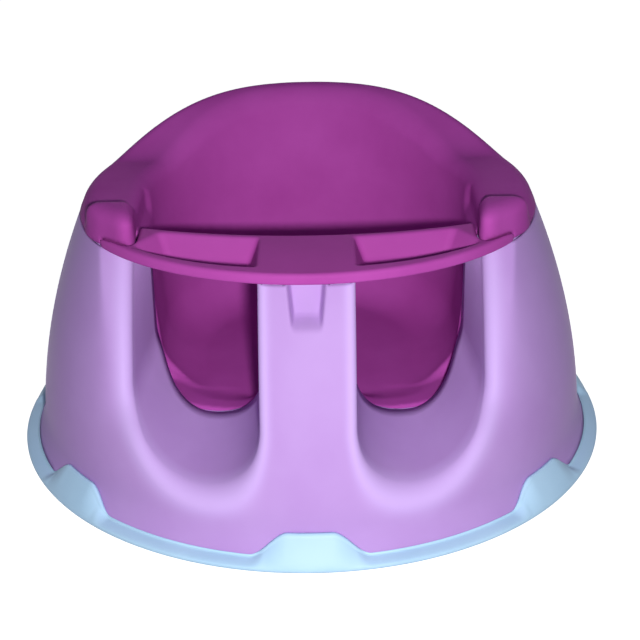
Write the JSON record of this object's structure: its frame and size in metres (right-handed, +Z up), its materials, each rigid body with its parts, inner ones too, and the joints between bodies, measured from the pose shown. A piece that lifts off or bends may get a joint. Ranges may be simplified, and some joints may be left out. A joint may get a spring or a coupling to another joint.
{
  "type": "baby floor seat",
  "caption": "Free-standing floor seat for a baby: domed hard shell with leg openings, soft lift-out seat insert, sliding crescent tray and a non-slip lobed ring round the foot.",
  "frame": {"origin": "on the floor under the middle of the foot ring", "axes": "+Z up, the front with the tray and the leg openings faces -Y, +X is the child's left"},
  "size_m": [0.413, 0.413, 0.21],
  "materials": {
    "shell": "satin moulded plastic",
    "pan": "satin moulded plastic",
    "trim": "soft matte",
    "plate": "satin moulded plastic",
    "screws": "plain",
    "insert": "smooth soft skin",
    "tray": "satin moulded plastic"
  },
  "bodies": {
    "base": {"outer_shell": "shell", "seat_pan": "pan", "base_trim": "trim", "base_plate": "plate", "rim_screws": "screws", "post_screws": "screws"},
    "insert": {"seat_insert": "insert"},
    "tray": {"tray": "tray"}
  },
  "joints": [
    {"name": "insert_lift", "type": "slide", "parent": "base", "child": "insert", "axis": [0, 0, 1], "range_m": [0, 0.18]},
    {"name": "tray_slide", "type": "slide", "parent": "insert", "child": "tray", "axis": [0, -1, 0], "range_m": [0, 0.12]}
  ]
}
